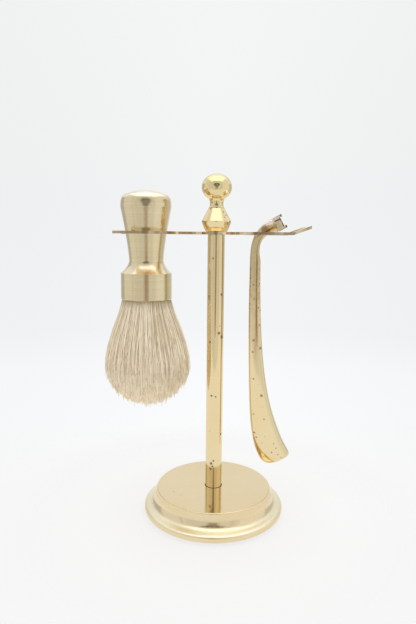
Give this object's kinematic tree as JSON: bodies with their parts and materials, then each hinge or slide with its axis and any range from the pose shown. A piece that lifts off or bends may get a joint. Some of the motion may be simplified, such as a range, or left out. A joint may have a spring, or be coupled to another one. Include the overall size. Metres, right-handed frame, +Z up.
{
  "type": "shaving stand with brush and razor",
  "caption": "Shaving stand: a weighted round foot, a tube column and a forked plate under a ball finial, holding a lift-out brush and a lift-out razor.",
  "frame": {"origin": "centre of the foot's underside, on the column's axis", "axes": "+Z up along the column, +X from the column towards the razor, +Y towards the back"},
  "size_m": [0.1018, 0.0726, 0.1742],
  "materials": {
    "polished_brass": "mirror polished, lightly tarnished",
    "turned_brass": "as turned",
    "plate_brass": "polished sheet with darkened edges",
    "satin_brass": "satin, fine turning lines",
    "razor_brass": "polished, pitted",
    "steel": "zinc plated",
    "cast_iron": "raw",
    "felt": "woollen felt",
    "resin": "cast resin",
    "bristle": "natural bristle"
  },
  "bodies": {
    "stand": {"base_shell": "polished_brass", "base_weight": "cast_iron", "felt_pad": "felt", "clamp_washer": "steel", "clamp_nut": "steel", "tie_rod": "steel", "column_tube": "polished_brass", "column_lower_plug": "turned_brass", "column_upper_plug": "turned_brass", "cone_collar": "polished_brass"},
    "plate": {"fork_plate": "plate_brass"},
    "finial": {"ball_finial": "polished_brass"},
    "brush": {"brush_handle": "satin_brass", "brush_ferrule": "satin_brass", "brush_stud": "steel", "knot_plug": "resin", "knot_bristles": "bristle"},
    "razor": {"razor_handle": "razor_brass", "razor_rail": "razor_brass", "razor_rivet": "steel"}
  },
  "joints": [
    {"name": "plate_swivel", "type": "hinge", "parent": "stand", "child": "plate", "pos_m": [0, 0, 0.1446], "axis": [0, 0, 1], "continuous": true},
    {"name": "finial_turn", "type": "hinge", "parent": "stand", "child": "finial", "pos_m": [0, 0, 0.16], "axis": [0, 0, 1], "continuous": true},
    {"name": "brush_lift_out", "type": "slide", "parent": "plate", "child": "brush", "axis": [-0.866, 0, 0.5], "range_m": [0, 0.05]},
    {"name": "razor_lift_out", "type": "slide", "parent": "plate", "child": "razor", "axis": [0.866, 0, 0.5], "range_m": [0, 0.046]}
  ]
}
